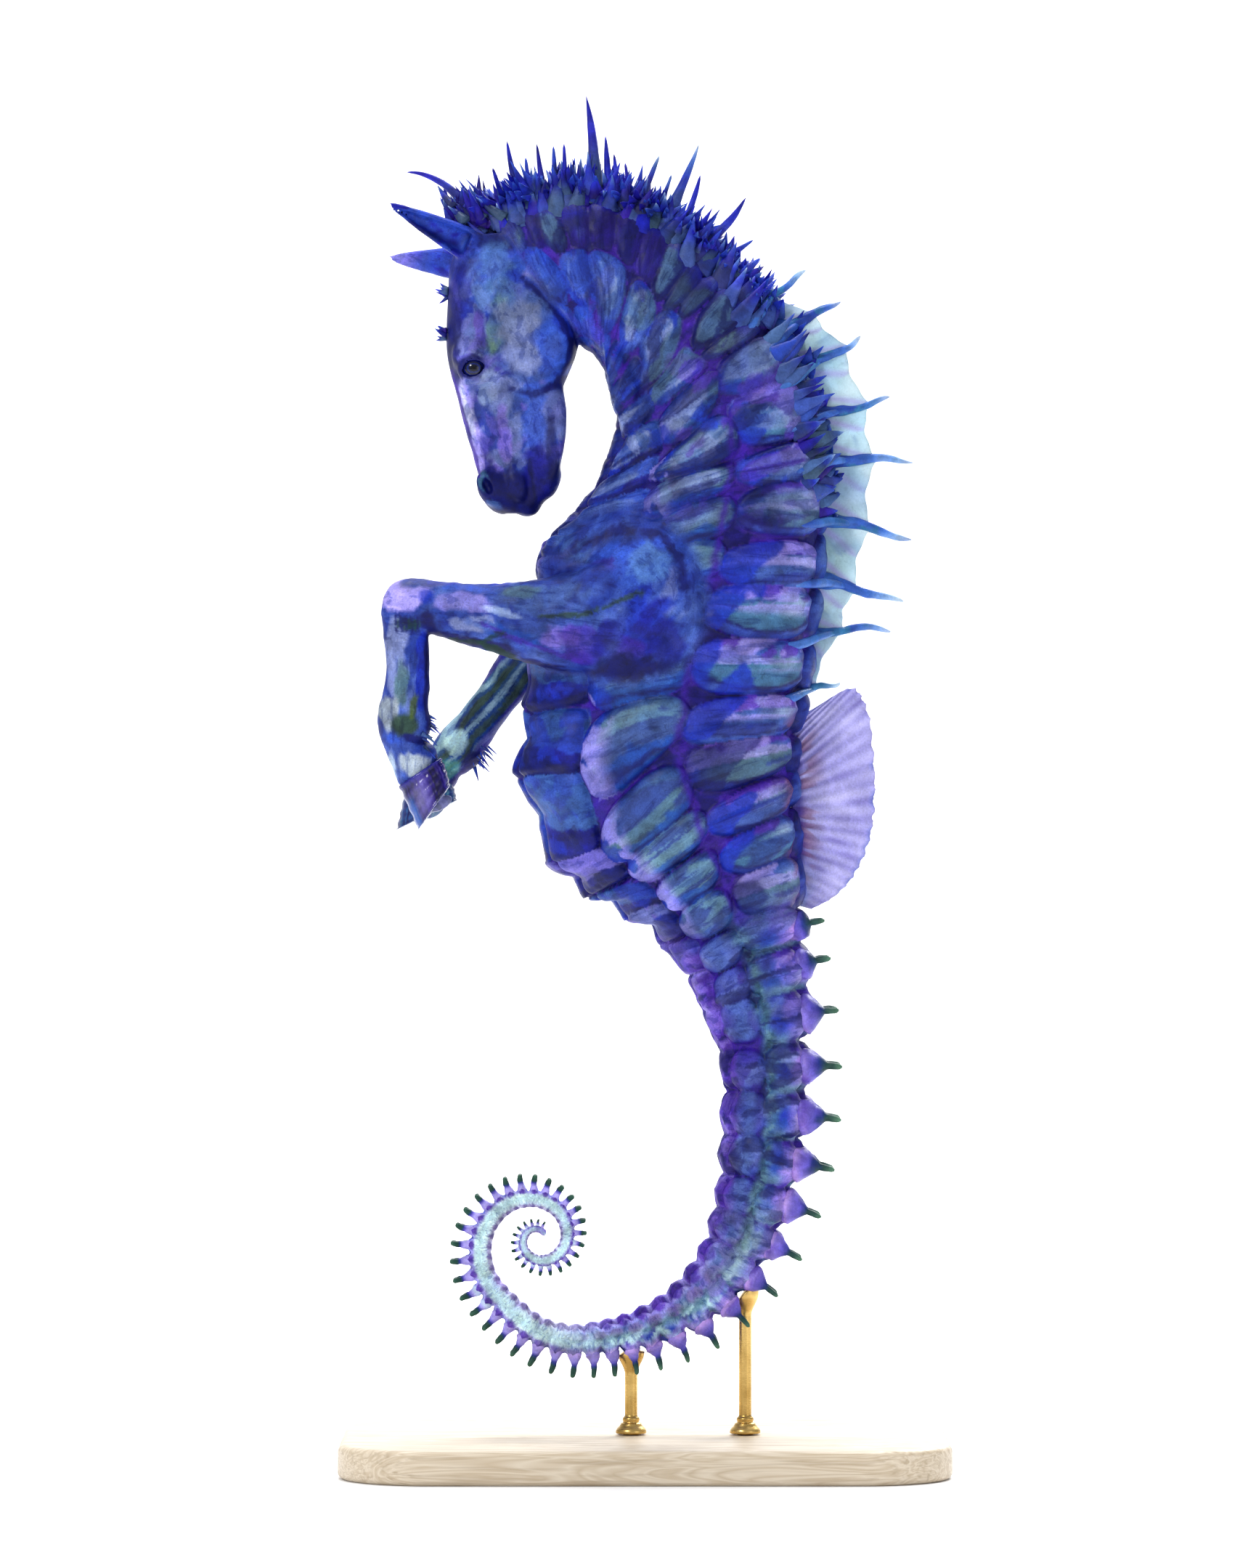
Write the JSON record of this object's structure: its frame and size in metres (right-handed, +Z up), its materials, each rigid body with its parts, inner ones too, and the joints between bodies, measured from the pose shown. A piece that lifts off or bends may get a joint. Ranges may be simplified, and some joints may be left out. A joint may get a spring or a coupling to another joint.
{
  "type": "hippocamp",
  "caption": "Life-size model of a hippocamp, a horse-headed sea creature with hoofed forelegs, plated body and coiled tail, upright on a display stand.",
  "frame": {"origin": "middle of the underside of the stand's base", "axes": "+Z up along the length of the body; the head faces -X; the animal's left side is -Y"},
  "size_m": [0.142, 0.092, 0.3213],
  "materials": {
    "skin": "wet plated hide, ultramarine, violet, teal and pale lavender",
    "mane": "stiff indigo spines with pale tips",
    "sail": "thin aqua skin between blue spines",
    "fin": "thin rayed lavender skin",
    "hoof": "smooth violet horn",
    "eye": "wet and near black",
    "wood": "pale ash, satin oil",
    "brass": "brushed"
  },
  "bodies": {
    "root": {"cannon_left": "skin", "cannon_right": "skin", "coil_inner": "skin", "coil_middle": "skin", "coil_outer": "skin", "coil_tip": "skin", "dorsal_fin": "fin", "ear_left": "skin", "ear_right": "skin", "eye_left": "eye", "eye_right": "eye", "forearm_left": "skin", "forearm_right": "skin", "head": "skin", "hoof_left": "hoof", "hoof_right": "hoof", "mane": "mane", "neck": "skin", "pastern_left": "skin", "pastern_right": "skin", "sail": "sail", "stand_base": "wood", "stand_rod_front": "brass", "stand_rod_rear": "brass", "tail_bend": "skin", "tail_lower": "skin", "tail_root": "skin", "tail_sweep": "skin", "tail_upper": "skin", "trunk": "skin"}
  },
  "joints": []
}
